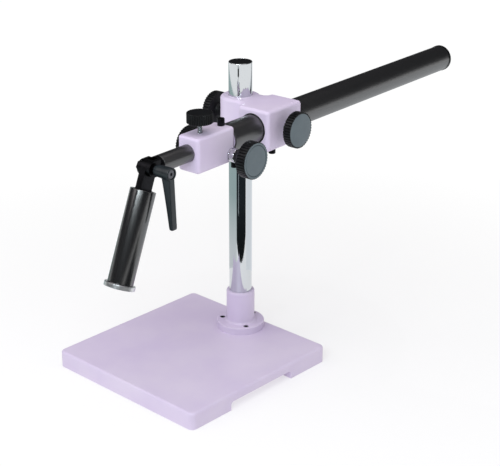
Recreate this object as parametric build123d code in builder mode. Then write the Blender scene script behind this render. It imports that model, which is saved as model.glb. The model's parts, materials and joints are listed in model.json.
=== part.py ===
from build123d import *
import os
from math import acos, ceil, cos, pi, radians, sin, sqrt, tan

os.makedirs("parts", exist_ok=True)

# Boom stand for a stereo microscope. Millimetres, +Z up, the operator at -Y.
# The origin is on the column's axis at bench level. The arm's own frame has X across the
# arm, Y back along the boom and Z up, with its origin on the column axis at boom height.

# base and column
base_width = 260
base_depth = 262
base_height = 24.4
base_corner = 8
base_edge = 3.5
channel_width = 118
channel_height = 12.6
channel_corner = 5
flange_seat_depth = 0.4
pad_radius = 11
pad_thickness = 2.6
pad_stand = 0.6
pad_inset = 22
column_setback = 97
column_radius = 16
column_wall = 1.6
column_top = 414
column_rim = 1.2
cap_depth = 9
cap_wall = 2
cap_skin = 2.5
cap_edge = 0.6
sleeve_wall = 3.9
sleeve_top = 82.4
sleeve_lip = 2.8
sleeve_foot = 3
flange_rim = 13.85
flange_thickness = 10.4
flange_edge = 1.5
flange_screw_inset = 7.25
flange_screw_angle = -30
flange_screw_radius = 2
flange_screw_head = 3.5
flange_screw_head_height = 4
flange_screw_length = 16
flange_screw_socket = 3
flange_screw_socket_depth = 2.2

# arm layout
boom_drop = 72.3
boom_yaw = 3.76
bush_spacing = 16.4
bush_wall = 1.5
bush_slit = 1.5

# clamp block
boss_wall = 9.45
box_wall = 4.95
roof_wall = 5.95
floor_wall = 7.95
box_front = -41.5
box_rear = 31
neck_rear = 20
throat_fillet = 9
neck_fillet = 5.5
block_corner = 5
block_edge = 4.5
clamp_axis_z = -1
boom_clamp_y = -6
friction_screw_stand = 6.6

# clamp knobs and screws
knob_radius = 24
knob_thickness = 12.4
knob_flutes = 40
knob_hub_radius = 9
knob_hub_length = 4
knob_dome = 1.2
knob_edge = 1
flute_share = 0.55
flute_setback = 0.45
column_knob_gap = 9.3
boom_knob_gap = 14.8
stud_radius = 3
stud_in_knob = 9
pad_length = 2.2
pad_rest_gap = 0.3
round_head_radius = 4.8
round_head_height = 9.5
round_head_edge = 0.8
round_head_socket = 5
round_head_socket_depth = 4

# boom and front block
boom_radius = 19
boom_wall = 2
boom_rear = 419
end_cap_thickness = 4
end_cap_lip = 0.6
end_cap_edge = 1.2
end_cap_plug = 14
end_cap_wall = 2.5
front_width = 34
front_front = -168.5
front_rear = -97.5
front_roof = 9.1
front_floor = 10.3
front_corner = 5
front_edge = 3.5
spigot_length = 20
lock_y = -145.4
lock_knob_gap = 13.5
lock_knob_radius = 16.7
lock_knob_height = 13.4
lock_knob_flutes = 36
lock_knob_edge = 0.8
lock_knob_dome = 1.2

# extension bar, rack and pinion
bar_radius = 11.2
bar_bore = 4
bar_front = -222
bar_rear = 27
guide_ring_length = 16
gear_module = 0.8
pinion_teeth = 13
pressure_angle = 20
gear_backlash = 0.15
rack_addendum = 0.6
pinion_addendum = 0.8
gear_dedendum = 1
tooth_root_relief = 0.3
flank_steps = 5
rack_width = 6
rack_cover = 4.4
rack_land = 6
rack_screw_radius = 1.25
rack_screw_head = 2.2
rack_screw_head_height = 1.5
rack_screw_sink = 1.6
rack_screw_length = 4.2
rack_screw_hole = 2.8
rack_screw_socket = 1.5
rack_screw_socket_depth = 0.9
extend_travel = 80
retract_travel = 40
pinion_y = -105
pinion_reach = 3.8
gear_face = 5.4
shaft_radius = 4
shaft_short = 5.4
pinion_bush_radius = 7
pinion_bush_gap = 0.66
collar_radius = 9.3
collar_length = 10
collar_edge = 0.8
collar_screw_radius = 2
collar_screw_head = 4.5
collar_screw_head_height = 6
collar_screw_socket = 4
collar_screw_socket_depth = 3
spanner_hole_radius = 1.1
spanner_hole_depth = 4
pinion_knob_face = 57.4
pinion_knob_thickness = 14.3
pinion_knob_lip = 4
pinion_knob_dome = 0.4
pinion_cap_thickness = 1.8
pinion_cap_sink = 0.4
pinion_screw_head = 3
pinion_screw_head_height = 2.4
guide_ring_inset = 2

# tilting post and its lever
fork_gap = 0.8
fork_radius = 10
fork_half = 10
tongue_half = 4.6
tongue_gap = 0.2
fork_collar = 6
fork_spigot = 16
hinge_bolt_radius = 4
hinge_thread_radius = 3
hinge_bolt_head = 4
hinge_bolt_across = 13
washer_radius = 8
washer_thickness = 0.8
post_tilt = 22.7
post_radius = 16
post_wall = 2.5
post_start = 27
post_end = 143
yoke_plug = 20
yoke_recess = 1.5
yoke_root = 4
end_plug = 14
disc_radius = 19.4
disc_thickness = 5.5
disc_screw_radius = 3
disc_screw_head = 6
disc_screw_reach = 10
disc_screw_socket = 4
disc_screw_socket_depth = 2.5
disc_edge = 0.6
lever_hub_radius = 7.25
lever_hub_gap = 2.6
lever_hub_length = 24.9
lever_length = 70
lever_width = 8.5
lever_root = 12.8
lever_tip = 5.1
lever_tip_offset = 2.8
lever_lift = 4.5
lever_tip_round = 1.5
insert_radius = 5
insert_teeth = 12
insert_tooth_depth = 0.7
insert_reach = 12
insert_lap = 0.5
insert_washer_radius = 6.5
insert_thread_short = 3
insert_screw_hole = 8
hinge_thread_short = 4
insert_stem_radius = 3
lever_screw_radius = 2
lever_recess_radius = 5.6
lever_web = 2.5
lever_screw_head_height = 3.4
lever_screw_length = 7.5
lever_screw_socket = 4
lever_screw_socket_depth = 2.2
lever_spring_shut = 3.5
lever_spring_gap = 0.5
lever_stem_gap = 0.2

# clearances, radial
running_gap = 0.05
set_gap = 0.02
free_gap = 0.3
through = 1

# sizes that follow from the ones above
sleeve_radius = column_radius + sleeve_wall
flange_radius = sleeve_radius + flange_rim
flange_screw_circle = flange_radius - flange_screw_inset
column_bush_radius = column_radius + running_gap + bush_wall
boom_bush_radius = boom_radius + running_gap + bush_wall
boom_height = column_top - boom_drop
boom_offset = column_bush_radius + boom_bush_radius + bush_spacing
boss_radius = column_bush_radius + boss_wall
box_half = boom_bush_radius + box_wall
box_left = boom_offset - box_half
box_right = boom_offset + box_half
block_bottom = -boom_bush_radius - floor_wall
block_top = boom_bush_radius + roof_wall
hinge_y = bar_front - fork_collar - fork_radius - fork_gap
pinion_z = -bar_radius - pinion_reach
front_bottom = pinion_z - front_floor
front_top = bar_radius + front_roof
rack_back = -bar_radius + rack_cover
pinion_bush_inner = sqrt(bar_radius**2 - (pinion_z + pinion_bush_radius) ** 2) + pinion_bush_gap
collar_screw_offset = front_width / 2 + collar_length / 2
shaft_half = pinion_knob_face - shaft_short
lever_hub_start = fork_half + lever_hub_gap
lever_hub_end = lever_hub_start + lever_hub_length
insert_end = fork_half + insert_reach
tube_bore = boom_radius - boom_wall
tube_front = front_rear + set_gap
front_half = front_width / 2
stud_hole = stud_radius + running_gap
pitch = pi * gear_module
pinion_pitch_radius = gear_module * pinion_teeth / 2
pitch_line = pinion_z + pinion_pitch_radius
teeth_to_front = ceil(retract_travel / pitch) + 2
teeth_to_rear = ceil(extend_travel / pitch) + 2
rack_front = pinion_y - (teeth_to_front + 0.5) * pitch - rack_land
rack_rear = pinion_y + (teeth_to_rear + 0.5) * pitch + rack_land
arm_place = Location((0, 0, boom_height), (0, 0, boom_yaw))
hinge_place = arm_place * Location((boom_offset, hinge_y, 0))
post_place = arm_place * Location((boom_offset, hinge_y, 0), (-post_tilt, 0, 0))


def save(piece, name, place=Location()):
    piece.part.label = name
    export_step(piece.part.moved(place), f"parts/{name}.step")


def rod(plane, x, y, radius, length, mode=Mode.ADD):
    # A cylinder standing on a plane at x, y in that plane.
    with BuildSketch(plane) as circle:
        with Locations((x, y)):
            Circle(radius)
    extrude(circle.sketch, amount=length, mode=mode)


def hex_socket(plane, x, y, across, depth):
    # A hexagon recess cut down from a plane.
    with BuildSketch(plane) as socket:
        with Locations((x, y)):
            RegularPolygon(across / sqrt(3), 6)
    extrude(socket.sketch, amount=-depth, mode=Mode.SUBTRACT)


def cap_screw(seat, x, y, head, head_height, shank, length, across, depth):
    # A socket screw: its head stands on the seat plane and its shank goes below it.
    rod(seat, x, y, head, head_height)
    rod(seat, x, y, shank, -length)
    hex_socket(seat.offset(head_height), x, y, across, depth)


def across_x(x):
    return Plane.YZ.offset(x)


def along_y(y):
    return Plane.XZ.offset(-y)


# base plate: two broad feet with a channel between
with BuildPart() as base_plate:
    with BuildSketch(Plane.XY.offset(pad_stand)):
        with Locations((0, -column_setback)):
            RectangleRounded(base_width, base_depth, base_corner)
    extrude(amount=base_height - pad_stand)
    fillet(base_plate.edges().group_by(Axis.Z)[-1], radius=base_edge)
    with BuildSketch(across_x(-base_width / 2 - through)) as channel:
        with Locations((-column_setback, channel_height / 2)):
            Rectangle(channel_width, channel_height)
        fillet(channel.vertices().group_by(Axis.Y)[-1], radius=channel_corner)
    extrude(amount=base_width + 2 * through, mode=Mode.SUBTRACT)
    with BuildSketch(Plane.XY.offset(pad_stand)):
        with Locations((0, -column_setback)):
            with GridLocations(base_width - 2 * pad_inset, base_depth - 2 * pad_inset, 2, 2):
                Circle(pad_radius + set_gap)
    extrude(amount=pad_thickness - pad_stand, mode=Mode.SUBTRACT)
    with BuildSketch(Plane.XY.offset(base_height)):
        with PolarLocations(flange_screw_circle, 3, start_angle=flange_screw_angle):
            Circle(flange_screw_radius + running_gap)
    flange_seat = flange_thickness - flange_screw_head_height - free_gap
    extrude(amount=flange_seat - flange_screw_length - through, mode=Mode.SUBTRACT)
    rod(Plane.XY.offset(base_height), 0, 0, flange_radius + set_gap, -flange_seat_depth, Mode.SUBTRACT)
save(base_plate, "base_plate")

with BuildPart() as foot_pads:
    with BuildSketch():
        with Locations((0, -column_setback)):
            with GridLocations(base_width - 2 * pad_inset, base_depth - 2 * pad_inset, 2, 2):
                Circle(pad_radius)
    extrude(amount=pad_thickness - set_gap)
save(foot_pads, "foot_pads")

# column: flanged socket, chromed tube and plug
flange_foot = base_height - flange_seat_depth
flange_face = base_height + flange_thickness
with BuildPart() as column_flange:
    rod(Plane.XY.offset(flange_foot), 0, 0, flange_radius, flange_thickness + flange_seat_depth)
    rod(Plane.XY.offset(flange_face), 0, 0, sleeve_radius, sleeve_top - flange_face)
    rim_edges = column_flange.edges().filter_by_position(Axis.Z, flange_face - 0.1, flange_face + 0.1)
    fillet(rim_edges.sort_by(SortBy.RADIUS)[0], radius=sleeve_foot)
    rim_edges = column_flange.edges().filter_by_position(Axis.Z, flange_face - 0.1, flange_face + 0.1)
    fillet(rim_edges.sort_by(SortBy.RADIUS)[-1], radius=flange_edge)
    fillet(column_flange.edges().group_by(Axis.Z)[-1], radius=sleeve_lip)
    rod(Plane.XY.offset(flange_foot), 0, 0, column_radius + set_gap, sleeve_top, Mode.SUBTRACT)
    with Locations(Plane.XY.offset(flange_face)):
        with PolarLocations(flange_screw_circle, 3, start_angle=flange_screw_angle):
            CounterBoreHole(
                flange_screw_radius + running_gap,
                flange_screw_head + free_gap,
                flange_screw_head_height + free_gap,
            )
save(column_flange, "column_flange")

with BuildPart() as flange_screws:
    for spot in PolarLocations(flange_screw_circle, 3, start_angle=flange_screw_angle).locations:
        cap_screw(
            Plane.XY.offset(base_height + flange_seat),
            spot.position.X,
            spot.position.Y,
            flange_screw_head,
            flange_screw_head_height,
            flange_screw_radius,
            flange_screw_length,
            flange_screw_socket,
            flange_screw_socket_depth,
        )
save(flange_screws, "flange_screws")

with BuildPart() as column_tube:
    rod(Plane.XY.offset(flange_foot), 0, 0, column_radius, column_top - flange_foot)
    fillet(column_tube.edges().group_by(Axis.Z)[-1], radius=column_rim)
    rod(Plane.XY.offset(flange_foot), 0, 0, column_radius - column_wall, column_top, Mode.SUBTRACT)
save(column_tube, "column_tube")

with BuildPart() as column_cap:
    cap_radius = column_radius - column_wall - set_gap
    cap_foot = Plane.XY.offset(column_top - cap_depth)
    rod(cap_foot, 0, 0, cap_radius, cap_depth)
    fillet(column_cap.edges().group_by(Axis.Z)[-1], radius=cap_edge)
    rod(cap_foot, 0, 0, cap_radius - cap_wall, cap_depth - cap_skin, Mode.SUBTRACT)
save(column_cap, "column_cap")

# clamp block: a boss round the column, a box round the boom
with BuildPart() as clamp_block:
    with BuildSketch(Plane.XY.offset(block_bottom)) as plan:
        with BuildLine():
            outline = FilletPolyline(
                (0, -boss_radius),
                (box_left, -boss_radius),
                (box_left, box_front),
                (box_right, box_front),
                (box_right, box_rear),
                (box_left, box_rear),
                (box_left, neck_rear),
                (0, neck_rear),
                radius=[throat_fillet, block_corner, block_corner, block_corner, block_corner, neck_fillet],
            )
            Line(outline @ 1, outline @ 0)
        make_face()
        Circle(boss_radius)
        neck_corner = (sqrt(boss_radius**2 - neck_rear**2), neck_rear, 0)
        fillet(plan.vertices().sort_by_distance(neck_corner)[0], radius=block_corner)
    extrude(amount=block_top - block_bottom)
    fillet(clamp_block.edges().group_by(Axis.Z)[-1], radius=block_edge)
    fillet(clamp_block.edges().group_by(Axis.Z)[0], radius=block_edge)
    rod(
        Plane.XY.offset(block_bottom - through),
        0,
        0,
        column_bush_radius + running_gap,
        block_top - block_bottom + 2 * through,
        Mode.SUBTRACT,
    )
    rod(
        along_y(box_rear + through),
        boom_offset,
        0,
        boom_bush_radius + running_gap,
        box_rear - box_front + 2 * through,
        Mode.SUBTRACT,
    )
    rod(across_x(-boss_radius - through), 0, clamp_axis_z, stud_hole, boss_radius, Mode.SUBTRACT)
    rod(across_x(boom_offset), boom_clamp_y, clamp_axis_z, stud_hole, box_right, Mode.SUBTRACT)
    rod(Plane.XY.offset(block_bottom - through), boom_offset, 0, stud_hole, floor_wall * 2, Mode.SUBTRACT)
save(clamp_block, "clamp_block", arm_place)


def split_bush(plane, x, y, outer, bore, length, slit_turn):
    # A thin sleeve, slit along one side so that a clamp screw can close it.
    rod(plane, x, y, outer, length)
    rod(plane, x, y, bore, length, Mode.SUBTRACT)
    with BuildSketch(plane) as slit:
        with Locations((x, y)):
            with PolarLocations((outer + bore) / 2, 1, start_angle=slit_turn):
                Rectangle(2 * bush_wall + through, bush_slit)
    extrude(slit.sketch, amount=length, mode=Mode.SUBTRACT)


with BuildPart() as column_bush:
    split_bush(
        Plane.XY.offset(block_bottom),
        0,
        0,
        column_bush_radius,
        column_radius + running_gap,
        block_top - block_bottom,
        -90,
    )
save(column_bush, "column_bush", arm_place)

with BuildPart() as boom_bush:
    split_bush(
        along_y(box_rear),
        boom_offset,
        0,
        boom_bush_radius,
        boom_radius + running_gap,
        box_rear - box_front,
        180,
    )
save(boom_bush, "boom_bush", arm_place)


# clamp knobs, studs and pressure pads
def fluted_disc(plane, x, y, radius, flutes, thickness, edge, dome):
    # A knob's disc with a low dome on its outer face, bevelled rims and flutes all round.
    side = Plane(origin=plane.from_local_coords((x, y, 0)), x_dir=plane.x_dir, z_dir=-plane.y_dir)
    with BuildSketch(side) as section:
        with BuildLine():
            shoulder = Polyline(
                (0, 0),
                (radius - edge, 0),
                (radius, edge),
                (radius, thickness - dome - edge),
                (radius - edge, thickness - dome),
            )
            TangentArc((0, thickness), shoulder @ 1, tangent=(1, 0))
            Line((0, thickness), shoulder @ 0)
        make_face()
    revolve(section.sketch, axis=Axis(side.origin, plane.z_dir))
    flute_radius = pi * radius / flutes * flute_share
    with BuildSketch(plane) as flute_cuts:
        with Locations((x, y)):
            with PolarLocations(radius + flute_radius * flute_setback, flutes):
                Circle(flute_radius)
    extrude(flute_cuts.sketch, amount=thickness, mode=Mode.SUBTRACT)


def clamp_knob(plane, x, y, bore_depth):
    # The disc stands outward of the plane and its hub comes back from it.
    fluted_disc(plane, x, y, knob_radius, knob_flutes, knob_thickness, knob_edge, knob_dome)
    rod(plane, x, y, knob_hub_radius, -knob_hub_length)
    bore_start = plane.offset(-knob_hub_length)
    rod(bore_start, x, y, stud_radius + set_gap, knob_hub_length + bore_depth, Mode.SUBTRACT)


column_knob_x = -boss_radius - column_knob_gap
column_knob_plane = Plane(origin=(column_knob_x, 0, 0), x_dir=(0, -1, 0), z_dir=(-1, 0, 0))
with BuildPart() as column_knob:
    clamp_knob(column_knob_plane, 0, clamp_axis_z, stud_in_knob)
save(column_knob, "column_knob", arm_place)

column_pad_x = -column_bush_radius - pad_rest_gap
with BuildPart() as column_stud:
    stud_length = column_pad_x - pad_length - column_knob_x + stud_in_knob
    rod(column_knob_plane.offset(stud_in_knob), 0, clamp_axis_z, stud_radius, -stud_length)
save(column_stud, "column_stud", arm_place)

with BuildPart() as column_pad:
    rod(across_x(column_pad_x), 0, clamp_axis_z, stud_radius, -pad_length)
save(column_pad, "column_pad", arm_place)

boom_knob_x = box_right + boom_knob_gap
with BuildPart() as boom_knob:
    clamp_knob(across_x(boom_knob_x), boom_clamp_y, clamp_axis_z, stud_in_knob)
save(boom_knob, "boom_knob", arm_place)

boom_pad_x = boom_offset + boom_bush_radius + pad_rest_gap
with BuildPart() as boom_stud:
    stud_length = boom_knob_x + stud_in_knob - boom_pad_x - pad_length
    rod(across_x(boom_knob_x + stud_in_knob), boom_clamp_y, clamp_axis_z, stud_radius, -stud_length)
save(boom_stud, "boom_stud", arm_place)

with BuildPart() as boom_pad:
    rod(across_x(boom_pad_x), boom_clamp_y, clamp_axis_z, stud_radius, pad_length)
save(boom_pad, "boom_pad", arm_place)

with BuildPart() as boom_friction_screw:
    friction_seat = Plane(
        origin=(boom_offset, 0, block_bottom - friction_screw_stand),
        x_dir=(1, 0, 0),
        z_dir=(0, 0, -1),
    )
    friction_reach = -boom_bush_radius - pad_rest_gap - block_bottom + friction_screw_stand
    cap_screw(
        friction_seat,
        0,
        0,
        round_head_radius,
        round_head_height,
        stud_radius,
        friction_reach,
        round_head_socket,
        round_head_socket_depth,
    )
    head_edges = boom_friction_screw.edges().filter_by(GeomType.CIRCLE)
    fillet(head_edges.group_by(Axis.Z)[0], radius=round_head_edge)
save(boom_friction_screw, "boom_friction_screw", arm_place)

# boom tube and its end cap
with BuildPart() as boom_tube:
    rod(along_y(boom_rear), boom_offset, 0, boom_radius, boom_rear - tube_front)
    rod(along_y(boom_rear), boom_offset, 0, tube_bore, boom_rear - tube_front, Mode.SUBTRACT)
save(boom_tube, "boom_tube", arm_place)

with BuildPart() as boom_end_cap:
    rod(along_y(boom_rear), boom_offset, 0, boom_radius + end_cap_lip, -end_cap_thickness)
    fillet(boom_end_cap.edges().group_by(Axis.Y)[-1], radius=end_cap_edge)
    rod(along_y(boom_rear), boom_offset, 0, tube_bore - set_gap, end_cap_plug)
    rod(along_y(boom_rear), boom_offset, 0, tube_bore - end_cap_wall, end_cap_plug, Mode.SUBTRACT)
save(boom_end_cap, "boom_end_cap", arm_place)

# front block: guides the bar and carries the pinion
with BuildPart() as front_block:
    with BuildSketch(Plane.XY.offset(front_bottom)):
        with Locations((boom_offset, (front_front + front_rear) / 2)):
            RectangleRounded(front_width, front_rear - front_front, front_corner)
    extrude(amount=front_top - front_bottom)
    fillet(front_block.edges().group_by(Axis.Z)[-1], radius=front_edge)
    fillet(front_block.edges().group_by(Axis.Z)[0], radius=front_edge)
    rod(along_y(front_rear), boom_offset, 0, tube_bore - set_gap, -spigot_length)
    bar_run = front_rear - front_front + spigot_length + 2 * through
    bar_run_end = along_y(front_rear + spigot_length + through)
    rod(bar_run_end, boom_offset, 0, bar_radius + running_gap, bar_run, Mode.SUBTRACT)
    rod(
        across_x(boom_offset - front_half - through),
        pinion_y,
        pinion_z,
        pinion_bush_radius + set_gap,
        front_width + 2 * through,
        Mode.SUBTRACT,
    )
    rod(Plane.XY, boom_offset, lock_y, stud_hole, front_top + through, Mode.SUBTRACT)
    rod(Plane.XY, boom_offset, pinion_y, stud_hole, front_top + through, Mode.SUBTRACT)
save(front_block, "front_block", arm_place)

mesh_pad_bottom = bar_radius + pad_rest_gap
with BuildPart() as mesh_pad:
    rod(Plane.XY.offset(mesh_pad_bottom), boom_offset, pinion_y, stud_radius, pad_length)
save(mesh_pad, "mesh_pad", arm_place)

with BuildPart() as mesh_screw:
    mesh_reach = front_top - mesh_pad_bottom - pad_length
    cap_screw(
        Plane.XY.offset(front_top),
        boom_offset,
        pinion_y,
        round_head_radius,
        round_head_height,
        stud_radius,
        mesh_reach,
        round_head_socket,
        round_head_socket_depth,
    )
    fillet(mesh_screw.edges().filter_by(GeomType.CIRCLE).group_by(Axis.Z)[-1], radius=round_head_edge)
save(mesh_screw, "mesh_screw", arm_place)

# lock knob on top of the front block
lock_knob_z = front_top + lock_knob_gap
with BuildPart() as lock_knob:
    lock_plane = Plane.XY.offset(lock_knob_z)
    fluted_disc(
        lock_plane,
        boom_offset,
        lock_y,
        lock_knob_radius,
        lock_knob_flutes,
        lock_knob_height,
        lock_knob_edge,
        lock_knob_dome,
    )
    rod(lock_plane, boom_offset, lock_y, stud_radius + set_gap, stud_in_knob, Mode.SUBTRACT)
save(lock_knob, "lock_knob", arm_place)

lock_pad_bottom = bar_radius + pad_rest_gap
with BuildPart() as lock_pad:
    rod(Plane.XY.offset(lock_pad_bottom), boom_offset, lock_y, stud_radius, pad_length)
save(lock_pad, "lock_pad", arm_place)

with BuildPart() as lock_stud:
    stud_foot = lock_pad_bottom + pad_length
    stud_length = lock_knob_z + stud_in_knob - stud_foot
    rod(Plane.XY.offset(stud_foot), boom_offset, lock_y, stud_radius, stud_length)
save(lock_stud, "lock_stud", arm_place)


# pinion: bushes, shaft, knobs and caps
def side_plane(side, x):
    # The plane square to the pinion axis at x outward of the boom axis, facing outward.
    return Plane(origin=(boom_offset + side * x, pinion_y, pinion_z), x_dir=(0, side, 0), z_dir=(side, 0, 0))


def pinion_bush(side):
    with BuildPart() as bush:
        rod(side_plane(side, pinion_bush_inner), 0, 0, pinion_bush_radius, front_half - pinion_bush_inner)
        rod(side_plane(side, front_half), 0, 0, collar_radius, collar_length)
        outer_edge = bush.edges().filter_by(GeomType.CIRCLE).sort_by(Axis.X, reverse=side < 0)[-1]
        fillet(outer_edge, radius=collar_edge)
        rod(side_plane(side, 0), 0, 0, shaft_radius + running_gap, shaft_half, Mode.SUBTRACT)
        with BuildSketch(side_plane(side, front_half + collar_length)) as spanner_holes:
            with PolarLocations((collar_radius + shaft_radius) / 2, 2, start_angle=45):
                Circle(spanner_hole_radius)
        extrude(spanner_holes.sketch, amount=-spanner_hole_depth, mode=Mode.SUBTRACT)
        rod(
            Plane.XY.offset(pinion_z - collar_radius - through),
            boom_offset + side * collar_screw_offset,
            pinion_y,
            collar_screw_radius + running_gap,
            collar_radius,
            Mode.SUBTRACT,
        )
    return bush


def pinion_knob(side):
    inner = pinion_knob_face - pinion_knob_thickness
    hub_start = front_half + collar_length + free_gap
    with BuildPart() as knob:
        fluted_disc(
            side_plane(side, inner),
            0,
            0,
            knob_radius,
            knob_flutes,
            pinion_knob_thickness,
            knob_edge,
            pinion_knob_dome,
        )
        rod(side_plane(side, hub_start), 0, 0, knob_hub_radius, inner - hub_start)
        rod(side_plane(side, 0), 0, 0, shaft_radius + set_gap, shaft_half + set_gap, Mode.SUBTRACT)
        face = side_plane(side, pinion_knob_face)
        recess = pinion_cap_thickness + pinion_cap_sink
        rod(face, 0, 0, knob_radius - pinion_knob_lip, -recess, Mode.SUBTRACT)
        rod(face, 0, 0, pinion_screw_head + pinion_cap_sink, -shaft_short, Mode.SUBTRACT)
    return knob


def pinion_cap(side):
    with BuildPart() as cap:
        rod(
            side_plane(side, pinion_knob_face - pinion_cap_sink),
            0,
            0,
            knob_radius - pinion_knob_lip - set_gap,
            -pinion_cap_thickness + set_gap,
        )
    return cap


for side, hand in ((-1, "left"), (1, "right")):
    save(pinion_bush(side), f"pinion_bush_{hand}", arm_place)
    save(pinion_knob(side), f"pinion_knob_{hand}", arm_place)
    save(pinion_cap(side), f"pinion_cap_{hand}", arm_place)

with BuildPart() as collar_screws:
    for side in (-1, 1):
        collar_seat = Plane(
            origin=(boom_offset + side * collar_screw_offset, pinion_y, pinion_z - collar_radius - set_gap),
            x_dir=(1, 0, 0),
            z_dir=(0, 0, -1),
        )
        reach = collar_radius - shaft_radius - running_gap - free_gap
        cap_screw(
            collar_seat,
            0,
            0,
            collar_screw_head,
            collar_screw_head_height,
            collar_screw_radius,
            reach,
            collar_screw_socket,
            collar_screw_socket_depth,
        )
save(collar_screws, "collar_screws", arm_place)


def involute_flank(base_radius, turn, side):
    # Points on one flank of a tooth, from the base circle to the tip.
    tip = pinion_pitch_radius + pinion_addendum
    last = sqrt((tip / base_radius) ** 2 - 1)
    points = []
    for step in range(flank_steps + 1):
        roll = last * step / flank_steps
        radius = base_radius * sqrt(1 + roll * roll)
        swing = turn - (roll - acos(base_radius / radius))
        points.append((radius * sin(side * swing), radius * cos(swing)))
    return points


def tooth_profile():
    # One tooth of the pinion pointing along the sketch's own +Y.
    angle = radians(pressure_angle)
    base_radius = pinion_pitch_radius * cos(angle)
    half_thickness = (pitch / 2 - gear_backlash) / 2 / pinion_pitch_radius
    turn = half_thickness + tan(angle) - angle
    root = pinion_pitch_radius - gear_dedendum - tooth_root_relief
    left = involute_flank(base_radius, turn, -1)
    right = involute_flank(base_radius, turn, 1)
    foot_left = (-root * sin(turn), root * cos(turn))
    foot_right = (root * sin(turn), root * cos(turn))
    return [foot_left] + left + right[::-1] + [foot_right]


with BuildPart() as pinion_shaft:
    rod(side_plane(1, -shaft_half), 0, 0, shaft_radius, 2 * shaft_half)
    with BuildSketch(side_plane(1, -gear_face / 2)):
        Circle(pinion_pitch_radius - gear_dedendum)
        with BuildLine():
            Polyline(*tooth_profile(), close=True)
        tooth = make_face(mode=Mode.PRIVATE)
        with PolarLocations(0, pinion_teeth):
            add(tooth)
    extrude(amount=gear_face)
save(pinion_shaft, "pinion_shaft", arm_place)

with BuildPart() as pinion_knob_screws:
    for side in (-1, 1):
        seat = side_plane(side, shaft_half + set_gap)
        rod(seat, 0, 0, pinion_screw_head, pinion_screw_head_height)
save(pinion_knob_screws, "pinion_knob_screws", arm_place)

# extension bar with its rack and guide ring
with BuildPart() as extension_bar:
    rod(along_y(bar_rear), boom_offset, 0, bar_radius, bar_rear - bar_front)
    rod(along_y(bar_rear), boom_offset, 0, bar_bore, bar_rear - bar_front, Mode.SUBTRACT)
    slot_front = rack_front - set_gap
    slot_rear = rack_rear + set_gap
    with BuildSketch(Plane.XY.offset(rack_back + set_gap)):
        with Locations((boom_offset, (slot_front + slot_rear) / 2)):
            Rectangle(rack_width + 2 * set_gap, slot_rear - slot_front)
    extrude(amount=-bar_radius, mode=Mode.SUBTRACT)
    for screw_y in (rack_front + rack_land / 2, rack_rear - rack_land / 2):
        hole_foot = Plane.XY.offset(rack_back - through)
        hole_length = rack_screw_hole + through
        rod(hole_foot, boom_offset, screw_y, rack_screw_radius + running_gap, hole_length, Mode.SUBTRACT)
save(extension_bar, "extension_bar", arm_place)

with BuildPart() as rack:
    rack_tip = pitch_line - rack_addendum
    rack_root = pitch_line + gear_dedendum
    with BuildSketch(Plane.XY.offset(rack_back)):
        with Locations((boom_offset, (rack_front + rack_rear) / 2)):
            Rectangle(rack_width, rack_rear - rack_front)
    extrude(amount=rack_tip - rack_back)
    slope = tan(radians(pressure_angle))
    gap_tip = pitch / 4 + (rack_addendum + through) * slope
    gap_root = pitch / 4 - gear_dedendum * slope
    with BuildSketch(across_x(boom_offset - rack_width / 2 - through)):
        for tooth_number in range(-teeth_to_front, teeth_to_rear + 1):
            with BuildLine():
                gap_y = pinion_y + tooth_number * pitch
                Polyline(
                    (gap_y - gap_tip, rack_tip - through),
                    (gap_y - gap_root, rack_root),
                    (gap_y + gap_root, rack_root),
                    (gap_y + gap_tip, rack_tip - through),
                    close=True,
                )
            make_face()
    extrude(amount=rack_width + 2 * through, mode=Mode.SUBTRACT)
    for screw_y in (rack_front + rack_land / 2, rack_rear - rack_land / 2):
        screw_top = Plane.XY.offset(rack_back + through)
        head_seat = Plane.XY.offset(rack_tip + rack_screw_sink)
        rod(screw_top, boom_offset, screw_y, rack_screw_radius + running_gap, -bar_radius, Mode.SUBTRACT)
        rod(head_seat, boom_offset, screw_y, rack_screw_head + running_gap, -bar_radius, Mode.SUBTRACT)
save(rack, "rack", arm_place)

with BuildPart() as rack_screws:
    for screw_y in (rack_front + rack_land / 2, rack_rear - rack_land / 2):
        seat_spot = (boom_offset, screw_y, rack_tip + rack_screw_sink)
        seat = Plane(origin=seat_spot, x_dir=(1, 0, 0), z_dir=(0, 0, -1))
        cap_screw(
            seat,
            0,
            0,
            rack_screw_head,
            rack_screw_head_height,
            rack_screw_radius,
            rack_screw_length,
            rack_screw_socket,
            rack_screw_socket_depth,
        )
save(rack_screws, "rack_screws", arm_place)

with BuildPart() as bar_guide_ring:
    ring_rear = bar_rear - guide_ring_inset
    rod(along_y(ring_rear), boom_offset, 0, tube_bore - running_gap, guide_ring_length)
    rod(along_y(ring_rear), boom_offset, 0, bar_radius + set_gap, guide_ring_length, Mode.SUBTRACT)
save(bar_guide_ring, "bar_guide_ring", arm_place)

# hinge: fork on the bar, bolt and washer
fork_web = fork_radius + fork_gap
with BuildPart() as hinge_fork:
    rod(along_y(fork_web), 0, 0, bar_radius, -fork_collar)
    rod(along_y(fork_web + fork_collar), 0, 0, bar_bore - set_gap, -fork_spigot)
    with BuildSketch(across_x(-fork_half)):
        Circle(fork_radius)
        with Locations((fork_web / 2, 0)):
            Rectangle(fork_web, 2 * fork_radius)
    extrude(amount=2 * fork_half)
    with BuildSketch(across_x(-tongue_half - tongue_gap)):
        with Locations((fork_web - 2 * fork_radius, 0)):
            Rectangle(4 * fork_radius, 2 * fork_radius + 2 * fork_collar)
    extrude(amount=2 * (tongue_half + tongue_gap), mode=Mode.SUBTRACT)
    rod(across_x(-fork_half), 0, 0, hinge_bolt_radius + running_gap, 2 * fork_half, Mode.SUBTRACT)
save(hinge_fork, "hinge_fork", hinge_place)

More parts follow.
